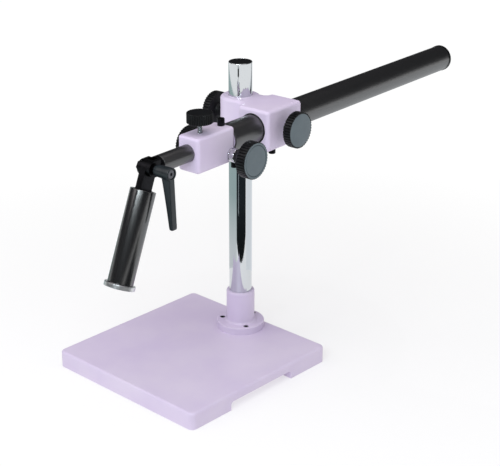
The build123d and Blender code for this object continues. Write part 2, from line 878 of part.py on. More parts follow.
with BuildPart() as hinge_washer:
    rod(across_x(fork_half), 0, 0, washer_radius, washer_thickness)
    rod(across_x(fork_half), 0, 0, hinge_bolt_radius + running_gap, washer_thickness, Mode.SUBTRACT)
save(hinge_washer, "hinge_washer", hinge_place)

insert_start = fork_half + washer_thickness + set_gap
with BuildPart() as hinge_bolt:
    rod(across_x(-fork_half), 0, 0, hinge_bolt_radius, 2 * fork_half + washer_thickness)
    rod(across_x(fork_half), 0, 0, hinge_thread_radius, insert_reach - hinge_thread_short)
    with BuildSketch(across_x(-fork_half - hinge_bolt_head)):
        RegularPolygon(hinge_bolt_across / sqrt(3), 6)
    extrude(amount=hinge_bolt_head)
save(hinge_bolt, "hinge_bolt", hinge_place)

# tilting post, drawn hanging straight down from its hinge
with BuildPart() as post_yoke:
    plug_top = -post_start - yoke_recess
    rod(Plane.XY.offset(plug_top), 0, 0, post_radius - post_wall - set_gap, -yoke_plug)
    with BuildSketch(across_x(-tongue_half)):
        Circle(fork_radius)
        with Locations((0, plug_top / 2)):
            Rectangle(2 * fork_radius, -plug_top)
    extrude(amount=2 * tongue_half)
    tongue_edges = post_yoke.edges().filter_by(Axis.Y)
    fillet(tongue_edges.filter_by_position(Axis.Z, plug_top - 0.1, plug_top + 0.1), radius=yoke_root)
    rod(across_x(-tongue_half), 0, 0, hinge_bolt_radius + running_gap, 2 * tongue_half, Mode.SUBTRACT)
save(post_yoke, "post_yoke", post_place)

with BuildPart() as post_tube:
    rod(Plane.XY.offset(-post_end), 0, 0, post_radius, post_end - post_start)
    rod(Plane.XY.offset(-post_end), 0, 0, post_radius - post_wall, post_end - post_start, Mode.SUBTRACT)
save(post_tube, "post_tube", post_place)

with BuildPart() as post_end_plug:
    rod(Plane.XY.offset(-post_end), 0, 0, post_radius - post_wall - set_gap, end_plug)
    rod(Plane.XY.offset(-post_end), 0, 0, disc_screw_radius + running_gap, end_plug, Mode.SUBTRACT)
save(post_end_plug, "post_end_plug", post_place)

with BuildPart() as end_stop_disc:
    rod(Plane.XY.offset(-post_end), 0, 0, disc_radius, -disc_thickness)
    fillet(end_stop_disc.edges().filter_by(GeomType.CIRCLE), radius=disc_edge)
    sink = disc_screw_head - disc_screw_radius
    with Locations(Plane(origin=(0, 0, -post_end - disc_thickness), z_dir=(0, 0, -1))):
        CounterSinkHole(
            disc_screw_radius + running_gap,
            disc_screw_head + running_gap,
            depth=disc_thickness + through,
        )
save(end_stop_disc, "end_stop_disc", post_place)

with BuildPart() as end_stop_screw:
    disc_face = -post_end - disc_thickness
    rod(Plane.XY.offset(disc_face), 0, 0, disc_screw_radius, disc_thickness + disc_screw_reach)
    with BuildSketch(Plane.XZ):
        with BuildLine():
            Polyline(
                (0, disc_face),
                (disc_screw_head - 2 * running_gap, disc_face),
                (disc_screw_radius - 2 * running_gap, disc_face + sink),
                (0, disc_face + sink),
                close=True,
            )
        make_face()
    revolve(axis=Axis.Z)
    screw_face = Plane(origin=(0, 0, disc_face), z_dir=(0, 0, -1))
    hex_socket(screw_face, 0, 0, disc_screw_socket, disc_screw_socket_depth)
save(end_stop_screw, "end_stop_screw", post_place)

# clamping lever: toothed insert, handle, spring and screw
def toothed(radius_outer, radius_inner, plane, length, mode=Mode.ADD):
    # A round bar with coarse pointed teeth all round.
    with BuildSketch(plane) as star:
        points = []
        for corner in range(2 * insert_teeth):
            radius = radius_outer if corner % 2 else radius_inner
            angle = pi * corner / insert_teeth
            points.append((radius * cos(angle), radius * sin(angle)))
        with BuildLine():
            Polyline(*points, close=True)
        make_face()
    extrude(star.sketch, amount=length, mode=mode)


with BuildPart() as lever_insert:
    rod(across_x(insert_start), 0, 0, insert_washer_radius, lever_hub_start - insert_start - running_gap)
    insert_waist = insert_radius - insert_tooth_depth
    teeth_length = lever_hub_start + lever_lift - insert_lap - insert_start
    toothed(insert_radius, insert_waist, across_x(insert_start), teeth_length)
    rod(across_x(insert_start), 0, 0, insert_waist - running_gap, insert_end - insert_start)
    web_end = insert_end + insert_lap + lever_web
    stem_end = web_end + lever_lift + lever_spring_shut
    rod(across_x(insert_end), 0, 0, insert_stem_radius, stem_end - insert_end)
    thread_length = insert_end - insert_thread_short - insert_start
    rod(across_x(insert_start), 0, 0, hinge_thread_radius + running_gap, thread_length, Mode.SUBTRACT)
    rod(across_x(stem_end), 0, 0, lever_screw_radius + running_gap, -insert_screw_hole, Mode.SUBTRACT)
save(lever_insert, "lever_insert", hinge_place)

with BuildPart() as lever_handle:
    rod(across_x(lever_hub_start), 0, 0, lever_hub_radius, lever_hub_end - lever_hub_start)
    with BuildSketch(Plane.XZ.offset(-lever_width / 2)) as arm_profile:
        with BuildLine():
            Polyline(
                (lever_hub_end - lever_root, 0),
                (lever_hub_end, 0),
                (lever_hub_end + lever_tip_offset, -lever_length),
                (lever_hub_end + lever_tip_offset - lever_tip, -lever_length),
                close=True,
            )
        make_face()
        fillet(arm_profile.vertices().group_by(Axis.Y)[0], radius=lever_tip_round)
    extrude(amount=lever_width)
    toothed(
        insert_radius + 2 * running_gap,
        insert_waist + 2 * running_gap,
        across_x(lever_hub_start),
        insert_end + insert_lap - lever_hub_start,
        Mode.SUBTRACT,
    )
    rod(across_x(lever_hub_start), 0, 0, insert_stem_radius + lever_stem_gap, web_end, Mode.SUBTRACT)
    rod(across_x(web_end), 0, 0, lever_recess_radius, lever_hub_end, Mode.SUBTRACT)
save(lever_handle, "lever_handle", hinge_place)

with BuildPart() as lever_screw:
    cap_screw(
        across_x(stem_end),
        0,
        0,
        lever_recess_radius - free_gap,
        lever_screw_head_height,
        lever_screw_radius,
        lever_screw_length,
        lever_screw_socket,
        lever_screw_socket_depth,
    )
save(lever_screw, "lever_screw", hinge_place)

with BuildPart() as lever_spring:
    spring_foot = across_x(web_end + set_gap)
    spring_length = stem_end - web_end - 2 * set_gap
    rod(spring_foot, 0, 0, lever_recess_radius - lever_spring_gap, spring_length)
    rod(spring_foot, 0, 0, insert_stem_radius + 3 * lever_stem_gap, spring_length, Mode.SUBTRACT)
save(lever_spring, "lever_spring", hinge_place)
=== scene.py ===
import json
from math import cos, pi, radians, sin, tan

import bpy
from mathutils import Matrix, Vector


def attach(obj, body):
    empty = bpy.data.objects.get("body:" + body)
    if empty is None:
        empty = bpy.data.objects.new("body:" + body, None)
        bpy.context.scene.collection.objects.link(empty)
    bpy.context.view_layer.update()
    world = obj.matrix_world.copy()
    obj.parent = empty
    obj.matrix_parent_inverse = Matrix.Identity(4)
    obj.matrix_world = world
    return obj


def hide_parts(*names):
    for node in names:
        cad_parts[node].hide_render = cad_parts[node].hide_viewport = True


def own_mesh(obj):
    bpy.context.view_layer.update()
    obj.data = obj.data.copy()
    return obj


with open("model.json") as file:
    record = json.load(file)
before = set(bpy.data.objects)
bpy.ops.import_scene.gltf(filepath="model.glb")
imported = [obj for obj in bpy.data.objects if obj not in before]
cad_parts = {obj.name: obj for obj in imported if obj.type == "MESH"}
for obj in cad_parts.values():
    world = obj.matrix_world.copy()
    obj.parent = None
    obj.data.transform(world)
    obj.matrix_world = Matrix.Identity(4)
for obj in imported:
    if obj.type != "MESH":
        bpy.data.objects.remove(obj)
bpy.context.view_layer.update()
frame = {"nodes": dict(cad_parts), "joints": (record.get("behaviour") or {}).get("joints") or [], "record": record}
nodes = frame["nodes"]
mounts = {mount["name"]: mount for mount in frame["record"]["mounts"]}
joints = {joint["name"]: joint for joint in frame["joints"]}
slotOf = {part["node"]: part["material_slot"] for part in frame["record"]["subparts"]}
bodies = frame["record"]["behaviour"]["bodies"]
bodyOf = {node: body for body, members in bodies.items() for node in members}
mm = 0.001
print("frame loaded,", len(nodes), "nodes")


def axisFrame(origin, axis, side=(0, 0, 1)):
    # local Z runs along the axis, and local X lies as near to side as it can
    z = Vector(axis).normalized()
    x = Vector(side) - Vector(side).dot(z) * z
    if x.length < 1e-4:
        x = Vector((1, 0, 0)) - z.x * z
    x.normalize()
    m = Matrix((x, z.cross(x), z)).transposed().to_4x4()
    m.translation = Vector(origin)
    return m


def jointFrame(name, flip=1):
    return axisFrame(joints[name]["pos_m"], Vector(joints[name]["axis"]) * flip)


def extent(node, place):
    # lowest z, highest z and largest radius of a CAD node in a local frame, in mm
    inverse = place.inverted()
    points = [inverse @ v.co / mm for v in nodes[node].data.vertices]
    return min(p.z for p in points), max(p.z for p in points), max(p.xy.length for p in points)


def innerRadius(node, place):
    inverse = place.inverted()
    return min((inverse @ v.co / mm).xy.length for v in nodes[node].data.vertices)


columnPlace = axisFrame((0, 0, 0), (0, 0, 1))
boomPlace = jointFrame("boom_roll")
barPlace = axisFrame(joints["boom_roll"]["pos_m"], joints["boom_roll"]["axis"])
columnClampPlace = jointFrame("column_clamp_turn")
boomClampPlace = jointFrame("boom_clamp_turn")
lockPlace = jointFrame("bar_lock_turn")
pinionPlace = {"right": jointFrame("pinion_turn"), "left": jointFrame("pinion_turn", -1)}
postPlace = axisFrame(mounts["instrument_post"]["pos_m"], mounts["instrument_post"]["axis"], (1, 0, 0))
leverPlace = jointFrame("lever_clamp")


# colours are sRGB hex, turned to linear here
def hexColor(text):
    parts = [int(text[i:i + 2], 16) / 255 for i in (1, 3, 5)]
    return [c / 12.92 if c <= 0.04045 else ((c + 0.055) / 1.055) ** 2.4 for c in parts] + [1.0]


def addNode(tree, kind, settings=None, links=None):
    # settings that name a socket set its value, and others set the node's own property
    node = tree.nodes.new("ShaderNode" + kind)
    for key, value in (settings or {}).items():
        if isinstance(key, int) or key in node.inputs:
            node.inputs[key].default_value = value
        else:
            setattr(node, key, value)
    for key, source in (links or {}).items():
        tree.links.new(source, node.inputs[key])
    return node


def newMaterial(name, color, roughness, metallic=0.0, ior=1.5, extra=None):
    material = bpy.data.materials.new(name)
    material.use_nodes = True
    tree = material.node_tree
    shader = tree.nodes["Principled BSDF"]
    shader.inputs["Base Color"].default_value = hexColor(color)
    shader.inputs["Roughness"].default_value = roughness
    shader.inputs["Metallic"].default_value = metallic
    if not metallic:
        shader.inputs["IOR"].default_value = ior
    for key, value in (extra or {}).items():
        shader.inputs[key].default_value = value
    place = addNode(tree, "TexCoord").outputs["Object"]
    return material, tree, shader, place


def blendTones(tree, factor, low, high, start=0.0, stop=1.0):
    # goes from one colour to the other while the factor goes from start to stop
    share = addNode(tree, "MapRange", {"From Min": start, "From Max": stop}, {"Value": factor})
    colors = {"data_type": "RGBA", 6: hexColor(low), 7: hexColor(high)}
    return addNode(tree, "Mix", colors, {0: share.outputs["Result"]}).outputs[2]


def varyRoughness(tree, shader, factor, low, high):
    varied = addNode(tree, "MapRange", {"To Min": low, "To Max": high}, {"Value": factor})
    tree.links.new(varied.outputs["Result"], shader.inputs["Roughness"])


def raiseSkin(tree, shader, height, strength, depth):
    # depth is the real one in mm
    skin = addNode(tree, "Bump", {"Strength": strength, "Distance": depth * mm}, {"Height": height})
    tree.links.new(skin.outputs["Normal"], shader.inputs["Normal"])
    return skin


def drawLines(tree, place, across, along, detail):
    # noise stretched along local Z, from its sizes in mm across the tube and along it
    scale = (perMetre(across), perMetre(across), perMetre(along))
    stretched = addNode(tree, "Mapping", {"Scale": scale}, {"Vector": place})
    settings = {"Scale": 1, "Detail": detail}
    return addNode(tree, "TexNoise", settings, {"Vector": stretched.outputs["Vector"]}).outputs["Fac"]


def cloudNoise(tree, place, size, detail):
    noise = addNode(tree, "TexNoise", {"Scale": perMetre(size), "Detail": detail}, {"Vector": place})
    return noise.outputs["Fac"]


def perMetre(size):
    # how many of a pattern of that size, in mm, go in a metre
    return 1 / (size * mm)


powderCoat = {
    "pale": "#D8CCE2",
    "deep": "#D0C2DE",
    # edge is the paler lilac of the painted highlight along the edges
    "edge": "#DDD3E7",
    "roughness": 0.42,
    "mottleSize": 70,
    "sheen": 0.06,
    "peelSize": 3.2,
    "peelDepth": 0.05,
    "peelStrength": 0.5,
    "gritSize": 1.1,
    "gritDepth": 0.015,
    "gritStrength": 0.15,
    "highlightWidth": 1.1,
    "highlightStart": 0.995,
    "highlightFull": 0.86,
}


def makePowderCoat():
    # Powder sprayed on the castings and baked: a satin skin with a faint orange peel, and a paler lilac painted
    # along every edge as a highlight line.
    # The peel's real grain of about 1.5 mm is drawn at twice that, because it would not show.
    v = powderCoat
    material, tree, shader, place = newMaterial("powder-coated casting, lilac", v["pale"], v["roughness"])
    mottle = cloudNoise(tree, place, v["mottleSize"], 3)
    tone = blendTones(tree, mottle, v["deep"], v["pale"], 0.3, 0.7)
    # painted highlight: where the rounded normal turns from the flat one, the edges take the paler lilac
    rounded = addNode(tree, "Bevel", {"samples": 4, "Radius": v["highlightWidth"] * mm})
    plain = addNode(tree, "NewGeometry")
    normals = {0: rounded.outputs["Normal"], 1: plain.outputs["Normal"]}
    facing = addNode(tree, "VectorMath", {"operation": "DOT_PRODUCT"}, normals)
    limits = {"From Min": v["highlightStart"], "From Max": v["highlightFull"]}
    paintedHighlightShare = addNode(tree, "MapRange", limits, {"Value": facing.outputs["Value"]}).outputs["Result"]
    highlightedTone = addNode(tree, "Mix", {"data_type": "RGBA", 7: hexColor(v["edge"])}, {0: paintedHighlightShare, 6: tone})
    tree.links.new(highlightedTone.outputs[2], shader.inputs["Base Color"])
    grain = {"Scale": perMetre(v["peelSize"]), "Detail": 1.5, "Roughness": 0.4}
    peel = addNode(tree, "TexNoise", grain, {"Vector": place})
    grit = addNode(tree, "TexVoronoi", {"Scale": perMetre(v["gritSize"])}, {"Vector": place})
    skin = raiseSkin(tree, shader, peel.outputs["Fac"], v["peelStrength"], v["peelDepth"])
    gritty = raiseSkin(tree, shader, grit.outputs["Distance"], v["gritStrength"], v["gritDepth"])
    tree.links.new(skin.outputs["Normal"], gritty.inputs["Normal"])
    varyRoughness(tree, shader, mottle, v["roughness"] - v["sheen"], v["roughness"] + v["sheen"])
    return material


chromePlate = {
    "tint": "#D4D8DB",
    "roughness": 0.035,
    "clearest": 0.025,
    "dullest": 0.125,
    "lineSize": 0.7,
    "lineLength": 90,
    "smearSize": 24,
    "waveStrength": 0.05,
    "waveDepth": 0.02,
}


def makeChromePlate():
    # Steel tube ground, polished lengthwise and chromed: a clear mirror with the faintest long lines.
    v = chromePlate
    material, tree, shader, place = newMaterial("hard chrome plate", v["tint"], v["roughness"], 1.0)
    lines = drawLines(tree, place, v["lineSize"], v["lineLength"], 2)
    smear = cloudNoise(tree, place, v["smearSize"], 2)
    both = addNode(tree, "Math", {"operation": "MULTIPLY"}, {0: lines, 1: smear}).outputs["Value"]
    varyRoughness(tree, shader, both, v["clearest"], v["dullest"])
    raiseSkin(tree, shader, smear, v["waveStrength"], v["waveDepth"])
    return material


anodised = {
    "dyed": "#0A0A0B",
    "faded": "#111113",
    "oxideIor": 1.76,
    "cloudSize": 35,
    "drawSize": 1.2,
    "drawLength": 160,
    "drawStrength": 0.4,
    "drawDepth": 0.004,
}


def makeAnodised(name, roughness, specular):
    # Drawn aluminium tube, etched, anodised and dyed black. The glassy oxide film is what the eye sees,
    # so it is a dielectric of the film's IOR over black, with fine draw lines along the tube. The metal
    # under the film adds to the reflection, so the specular level tells how etched it is.
    v = anodised
    extra = {"Specular IOR Level": specular}
    material, tree, shader, place = newMaterial(name, v["dyed"], roughness, 0.0, v["oxideIor"], extra)
    lines = drawLines(tree, place, v["drawSize"], v["drawLength"], 3)
    cloud = cloudNoise(tree, place, v["cloudSize"], 2)
    tree.links.new(blendTones(tree, cloud, v["dyed"], v["faded"]), shader.inputs["Base Color"])
    varyRoughness(tree, shader, lines, roughness - 0.03, roughness + 0.04)
    raiseSkin(tree, shader, lines, v["drawStrength"], v["drawDepth"])
    return material


moulded = {"cloudSize": 18, "grainStrength": 0.5, "polish": 0.07}


def makeMoulded(name, color, worn, roughness, grainSize, grainDepth, ior=1.53, specular=0.5):
    # Moulded plastic with a spark-eroded texture, a little greyer and rougher in soft random clouds.
    v = moulded
    extra = {"Specular IOR Level": specular}
    material, tree, shader, place = newMaterial(name, color, roughness, 0.0, ior, extra)
    cloud = cloudNoise(tree, place, v["cloudSize"], 3)
    tree.links.new(blendTones(tree, cloud, color, worn, 0.35, 0.8), shader.inputs["Base Color"])
    varyRoughness(tree, shader, cloud, roughness - v["polish"], roughness + v["polish"])
    grain = cloudNoise(tree, place, grainSize, 2)
    raiseSkin(tree, shader, grain, v["grainStrength"], grainDepth)
    return material


turned = {"cloudSize": 6, "ringStrength": 0.4}


def makeTurnedMetal(name, color, roughness, ringSize, ringDepth, stain):
    # Turned on a lathe: rings round local Z from the tool's feed, then plated or left bright.
    v = turned
    material, tree, shader, place = newMaterial(name, color, roughness, 1.0)
    # the wave texture puts 20 / (2 pi) rings in a unit, so this draws them coarser than the feed
    feed = {
        "wave_type": "RINGS",
        "rings_direction": "Z",
        "Scale": perMetre(ringSize) / 20,
        "Distortion": 1.5,
        "Detail": 2,
        "Detail Scale": 3,
    }
    rings = addNode(tree, "TexWave", feed, {"Vector": place})
    cloud = cloudNoise(tree, place, v["cloudSize"], 3)
    tree.links.new(blendTones(tree, cloud, stain, color, 0.2, 0.6), shader.inputs["Base Color"])
    varyRoughness(tree, shader, cloud, roughness - 0.05, roughness + 0.1)
    raiseSkin(tree, shader, rings.outputs["Fac"], v["ringStrength"], ringDepth)
    return material


lilac = makePowderCoat()
chrome = makeChromePlate()
blackAnodised = makeAnodised("black anodised aluminium, satin", roughness=0.36, specular=1.0)
postAnodised = makeAnodised("black anodised aluminium, polished", roughness=0.2, specular=0.9)

# knobs, moulded in filled nylon: nearly black, with a dull sheen along the flutes
blackNylon = makeMoulded(
    "glass-filled nylon, black",
    color="#0A0B0D",
    worn="#121416",
    roughness=0.36,
    grainSize=0.9,
    grainDepth=0.02,
    specular=0.3,
)
# knob faces, moulded smooth and pressed in, a little glossier than the knob: their slate grey is partly the grey
# of the plastic and partly a painted reflection of the softbox
greyFaceAndPaintedSheen = makeMoulded(
    "moulded knob face, slate grey",
    color="#4F5C63",
    worn="#5A676D",
    roughness=0.33,
    grainSize=0.7,
    grainDepth=0.01,
)
# the lever, moulded in the same nylon with a bluer dye
leverNylon = makeMoulded(
    "glass-filled nylon, blue black",
    color="#171E22",
    worn="#20282D",
    roughness=0.38,
    grainSize=0.9,
    grainDepth=0.02,
)
# bushes, machined from acetal: matt black, with a waxy look
bushNylon = makeMoulded(
    "acetal, black",
    color="#101011",
    worn="#191919",
    roughness=0.5,
    grainSize=1.0,
    grainDepth=0.02,
    ior=1.48,
)
# foot pads, moulded in rubber: the dullest and roughest black
rubber = makeMoulded(
    "moulded rubber, black",
    color="#131313",
    worn="#1E1D1C",
    roughness=0.8,
    grainSize=1.4,
    grainDepth=0.08,
    ior=1.52,
)
# studs and springs, zinc-plated: a cool, slightly cloudy bright metal
zinc = makeTurnedMetal(
    "zinc-plated steel",
    color="#C9CDD0",
    roughness=0.22,
    ringSize=0.5,
    ringDepth=0.01,
    stain="#AEB6BA",
)
# the end stop, turned and left bright: pale, with soft highlights
brightAluminium = makeTurnedMetal(
    "turned aluminium",
    color="#E4E5E6",
    roughness=0.3,
    ringSize=0.6,
    ringDepth=0.006,
    stain="#D6D8D9",
)
# collars, polished and plated: the sharpest small highlights
nickel = makeTurnedMetal(
    "polished nickel chrome",
    color="#D9D9DC",
    roughness=0.1,
    ringSize=0.6,
    ringDepth=0.006,
    stain="#CFCFD4",
)
# hinge parts and screws, blackened in a hot salt bath: dark metal with a faint shine
blackOxide = makeTurnedMetal(
    "black oxide steel",
    color="#27272A",
    roughness=0.34,
    ringSize=0.5,
    ringDepth=0.01,
    stain="#1B1B1D",
)
# socket screws, phosphated: mid grey and dull
socketSteel = makeTurnedMetal(
    "phosphated steel",
    color="#77777C",
    roughness=0.4,
    ringSize=0.5,
    ringDepth=0.01,
    stain="#5F5F64",
)
# pressure pads, machined from bar: warm and bright
brass = makeTurnedMetal(
    "machined brass",
    color="#C8A25C",
    roughness=0.28,
    ringSize=0.5,
    ringDepth=0.01,
    stain="#AE8747",
)

finishOf = {
    "cast_base": lilac,
    "cast_arm": lilac,
    "chrome_tube": chrome,
    "black_anodised": blackAnodised,
    "bright_aluminium": brightAluminium,
    "black_plastic": blackNylon,
    "grey_insert": greyFaceAndPaintedSheen,
    "black_oxide": blackOxide,
    "zinc_steel": zinc,
    "chrome_small": nickel,
    "brass_parts": brass,
    "nylon_black": bushNylon,
    "rubber_feet": rubber,
}
for name, node in nodes.items():
    node.data.materials.clear()
    node.data.materials.append(finishOf[slotOf[name]])
darkNodes = ["hinge_washer", "lever_insert", "hinge_fork", "post_yoke"]
for name in darkNodes:
    nodes[name].data.materials[0] = blackOxide
for name in ("flange_screws", "lever_screw"):
    nodes[name].data.materials[0] = socketSteel
print("materials on", len(nodes), "nodes")


def roundCorners(points, steps=5):
    # points are (along, out, corner radius) and each corner becomes an arc of that radius
    path = []
    for i, (z, r, size) in enumerate(points):
        here = Vector((z, r))
        if size == 0 or i in (0, len(points) - 1):
            path.append(here)
            continue
        before = Vector(points[i - 1][:2]) - here
        after = Vector(points[i + 1][:2]) - here
        half = before.angle(after) / 2
        reach = min(size / tan(half), before.length * 0.49, after.length * 0.49)
        size = reach * tan(half)
        centre = here + (before.normalized() + after.normalized()).normalized() * (size / sin(half))
        first = here + before.normalized() * reach - centre
        last = here + after.normalized() * reach - centre
        for step in range(steps + 1):
            turned = first.lerp(last, step / steps)
            path.append(centre + turned.normalized() * size)
    return [(p.x, p.y) for p in path]


def arcPoints(z0, r0, z1, r1, rise, steps=10):
    # a shallow crown between two points of a profile, without its ends
    return [
        (z0 + (z1 - z0) * t + rise * 4 * t * (1 - t), r0 + (r1 - r0) * t)
        for t in [step / steps for step in range(1, steps)]
    ]


def linkObject(name, data, place):
    made = bpy.data.objects.new(name, data)
    bpy.context.scene.collection.objects.link(made)
    made.matrix_world = place
    return made


def finishMesh(name, vertices, faces, place, material, sharp=32):
    mesh = bpy.data.meshes.new(name)
    mesh.from_pydata(vertices, [], faces)
    mesh.validate()
    mesh.materials.append(material)
    mesh.shade_smooth()
    mesh.set_sharp_from_angle(angle=radians(sharp))
    return linkObject(name, mesh, place)


def lathe(name, profile, place, material, segments=144, ring=False, shape=None, sharp=32):
    # turns a profile of (along, out) in mm round local Z; ring closes a tube's section
    vertices, faces, rows = [], [], []
    for z, r in profile:
        if r < 1e-6:
            rows.append([len(vertices)])
            vertices.append((0, 0, z * mm))
            continue
        rows.append(list(range(len(vertices), len(vertices) + segments)))
        for i in range(segments):
            angle = 2 * pi * i / segments
            out = shape(z, r, angle) if shape else r
            vertices.append((out * cos(angle) * mm, out * sin(angle) * mm, z * mm))
    pairs = list(zip(rows, rows[1:])) + ([(rows[-1], rows[0])] if ring else [])
    for low, high in pairs:
        for i in range(segments):
            j = (i + 1) % segments
            if len(low) == 1 and len(high) > 1:
                faces.append((low[0], high[j], high[i]))
            elif len(high) == 1 and len(low) > 1:
                faces.append((low[i], low[j], high[0]))
            elif len(low) > 1:
                faces.append((low[i], low[j], high[j], high[i]))
    return finishMesh(name, vertices, faces, place, material, sharp)


def standFor(piece, *names):
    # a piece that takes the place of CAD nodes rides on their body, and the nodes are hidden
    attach(piece, bodyOf[names[0]])
    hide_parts(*names)
    return piece


def addPiece(piece, body):
    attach(piece, body)
    return piece


# tubes: the edges that the eye meets are broken with a small round
tubeEdges = {"columnFoot": 0.3, "columnTop": 1.2, "boom": 0.5, "post": 0.6, "bar": 0.5}


def turnTube(name, node, place, material, lowEdge, highEdge, segments):
    low, high, outer = extent(node, place)
    inner = innerRadius(node, place)
    section = [
        (low, inner, 0),
        (low, outer, lowEdge),
        (high, outer, highEdge),
        (high, inner, 0.2),
        (low, inner, 0),
    ]
    return lathe(name, roundCorners(section)[:-1], place, material, segments, True)


def makeTube(name, node, place, material, lowEdge, highEdge):
    return standFor(turnTube(name, node, place, material, lowEdge, highEdge, 192), node)


makeTube("columnTube", "column_tube", columnPlace, chrome, tubeEdges["columnFoot"], tubeEdges["columnTop"])
makeTube("boomTube", "boom_tube", boomPlace, blackAnodised, tubeEdges["boom"], tubeEdges["boom"])
makeTube("postTube", "post_tube", postPlace, postAnodised, tubeEdges["post"], tubeEdges["post"])
print("tubes turned")


def cutWith(piece, cutter):
    modifier = piece.modifiers.new("cut", "BOOLEAN")
    modifier.object = cutter
    modifier.solver = "EXACT"
    return bakeModifiers(piece, cutter)


def bakeModifiers(piece, spare=None, sharp=32):
    bpy.context.view_layer.update()
    solved = piece.evaluated_get(bpy.context.evaluated_depsgraph_get())
    mesh = bpy.data.meshes.new_from_object(solved)
    piece.modifiers.clear()
    piece.data = mesh
    mesh.shade_smooth()
    mesh.set_sharp_from_angle(angle=radians(sharp))
    if spare:
        bpy.data.objects.remove(spare)
    return piece


def boxPiece(name, low, high, place, material):
    xs, ys, zs = zip(low, high)
    corners = [(x * mm, y * mm, z * mm) for z in zs for y in ys for x in xs]
    faces = [(0, 2, 3, 1), (4, 5, 7, 6), (0, 1, 5, 4), (2, 6, 7, 3), (0, 4, 6, 2), (1, 3, 7, 5)]
    return finishMesh(name, corners, faces, place, material)


def makeBar():
    # the extension bar is a thick tube with a long slot under it for the rack
    edge = tubeEdges["bar"]
    bar = turnTube("extensionBar", "extension_bar", barPlace, blackAnodised, edge, edge, 160)
    outer = extent("extension_bar", barPlace)[2]
    rackLow, rackHigh, reach = extent("rack", barPlace)
    inverse = barPlace.inverted()
    rackPoints = [inverse @ v.co / mm for v in nodes["rack"].data.vertices]
    slack = 0.02
    halfWidth = max(abs(p.y) for p in rackPoints) + slack
    lowCorner = (-2 * outer, -halfWidth, rackLow - slack)
    highCorner = (max(p.x for p in rackPoints), halfWidth, rackHigh + slack)
    slotCut = boxPiece("slotCut", lowCorner, highCorner, barPlace, blackAnodised)
    return standFor(cutWith(bar, slotCut), "extension_bar")


makeBar()

clampKnobs = {
    "flutes": 40,
    "fluteDepth": 1.5,
    "hubRadius": 9,
    "hubLength": 4,
    "rimRound": 1.1,
    "faceRadius": 22.2,
    "faceGap": 0.35,
    "faceDepth": 0.6,
    "crown": 1.0,
    "studDepth": 9,
    "studRadius": 3.02,
}
fluteFade = 1.6


def blindBore(back, depth, radius, mouth=0.3):
    # the start of a knob's profile, where it is bored for its stud or shaft
    return [(back + depth, 0, 0), (back + depth, radius, 0), (back, radius, mouth)]


def fluteShape(radius, count, depth, fade):
    # scallops round the rim that run out towards both faces
    def out(z, r, angle):
        share = min(max((r - (radius - fade)) / fade, 0), 1)
        return r - depth * share * max(0, cos(count * angle)) ** 0.75
    return out


def makeClampKnob(name, node, place):
    v = clampKnobs
    back, front, radius = extent(node, place)
    discBack = back + v["hubLength"]
    shoulder = front - v["crown"]
    floor = shoulder - v["faceDepth"]
    profile = roundCorners(blindBore(back, v["studDepth"], v["studRadius"]) + [
        (back, v["hubRadius"], 0.8),
        (discBack, v["hubRadius"] + 0.6, 1.2),
        (discBack, radius, v["rimRound"]),
        (shoulder, radius, v["rimRound"]),
        (shoulder, v["faceRadius"] + v["faceGap"], 0.15),
        (floor, v["faceRadius"] + v["faceGap"] / 2, 0),
        (floor, 0, 0),
    ])
    flutes = fluteShape(radius, v["flutes"], v["fluteDepth"], fluteFade)
    knob = lathe(name, profile, place, blackNylon, v["flutes"] * 12, False, flutes, 40)
    standFor(knob, node)
    edge = shoulder + 0.05
    under = shoulder - 0.5
    corner = [(under, v["faceRadius"], 0), (edge, v["faceRadius"], 0.4), (edge + 0.02, 0, 0)]
    face = [(under, 0), (under, v["faceRadius"])] + roundCorners(corner)[1:-1]
    face += arcPoints(edge, v["faceRadius"] - 0.5, front, 0, 0.25, 14) + [(front, 0)]
    plate = lathe(name + "Face", face, place, greyFaceAndPaintedSheen, 160)
    return addPiece(plate, bodyOf[node])


makeClampKnob("columnKnob", "column_knob", columnClampPlace)
makeClampKnob("boomKnob", "boom_knob", boomClampPlace)

pinionKnobs = {
    "flutes": 40,
    "fluteDepth": 1.4,
    "hubRadius": 9.4,
    "discThickness": 14.3,
    "lipRadius": 20.3,
    "boreRadius": 4.02,
    "boreDepth": 24,
    "capRadius": 19.9,
    "crown": 0.35,
}


